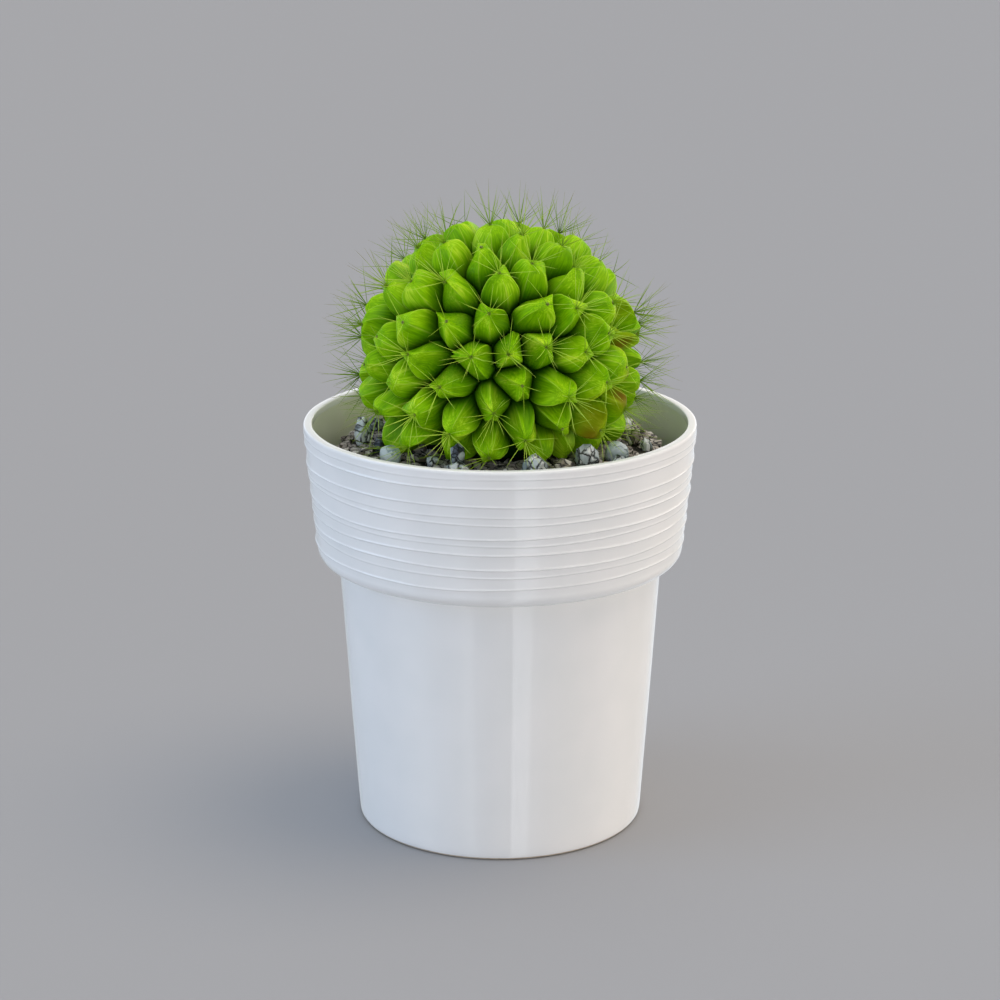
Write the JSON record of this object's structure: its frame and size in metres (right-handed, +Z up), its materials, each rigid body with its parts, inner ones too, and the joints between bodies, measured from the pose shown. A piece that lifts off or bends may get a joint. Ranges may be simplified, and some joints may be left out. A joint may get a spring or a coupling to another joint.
{
  "type": "potted round cactus",
  "caption": "Round, long-tubercled spiny cactus in a glossy white pot with a ribbed collar, with marbled pebbles lying on the gritty soil.",
  "frame": {"origin": "middle of the pot's foot, on the surface that it stands on", "axes": "+Z up along the pot's axis; the plant's growing point leans out towards -Y, which is the front"},
  "size_m": [0.1204, 0.1204, 0.1987],
  "materials": {
    "glazed_pot": "glossy white glaze on stoneware",
    "gritty_soil": "dark, dry grit",
    "cactus_flesh": "satin, waxy, streaked green skin with fine yellow-green spines",
    "pebble_marbled": "tumbled grey stone with dark veins",
    "pebble_pale": "smooth, pale blue-grey stone",
    "pebble_brown": "brown-grey stone with dark veins",
    "pebble_dark": "dark slate-grey stone with pale veins"
  },
  "bodies": {
    "root": {"pot": "glazed_pot", "soil": "gritty_soil", "cactus": "cactus_flesh", "pebble_01": "pebble_marbled", "pebble_02": "pebble_dark", "pebble_03": "pebble_pale", "pebble_04": "pebble_marbled", "pebble_05": "pebble_dark", "pebble_06": "pebble_marbled", "pebble_07": "pebble_marbled", "pebble_08": "pebble_brown", "pebble_09": "pebble_marbled", "pebble_10": "pebble_pale", "pebble_11": "pebble_marbled", "pebble_12": "pebble_marbled", "pebble_13": "pebble_brown", "pebble_14": "pebble_marbled", "pebble_15": "pebble_pale", "pebble_16": "pebble_brown", "pebble_17": "pebble_dark", "pebble_18": "pebble_marbled", "pebble_19": "pebble_pale", "pebble_20": "pebble_brown", "pebble_21": "pebble_dark", "pebble_22": "pebble_marbled"}
  },
  "joints": []
}
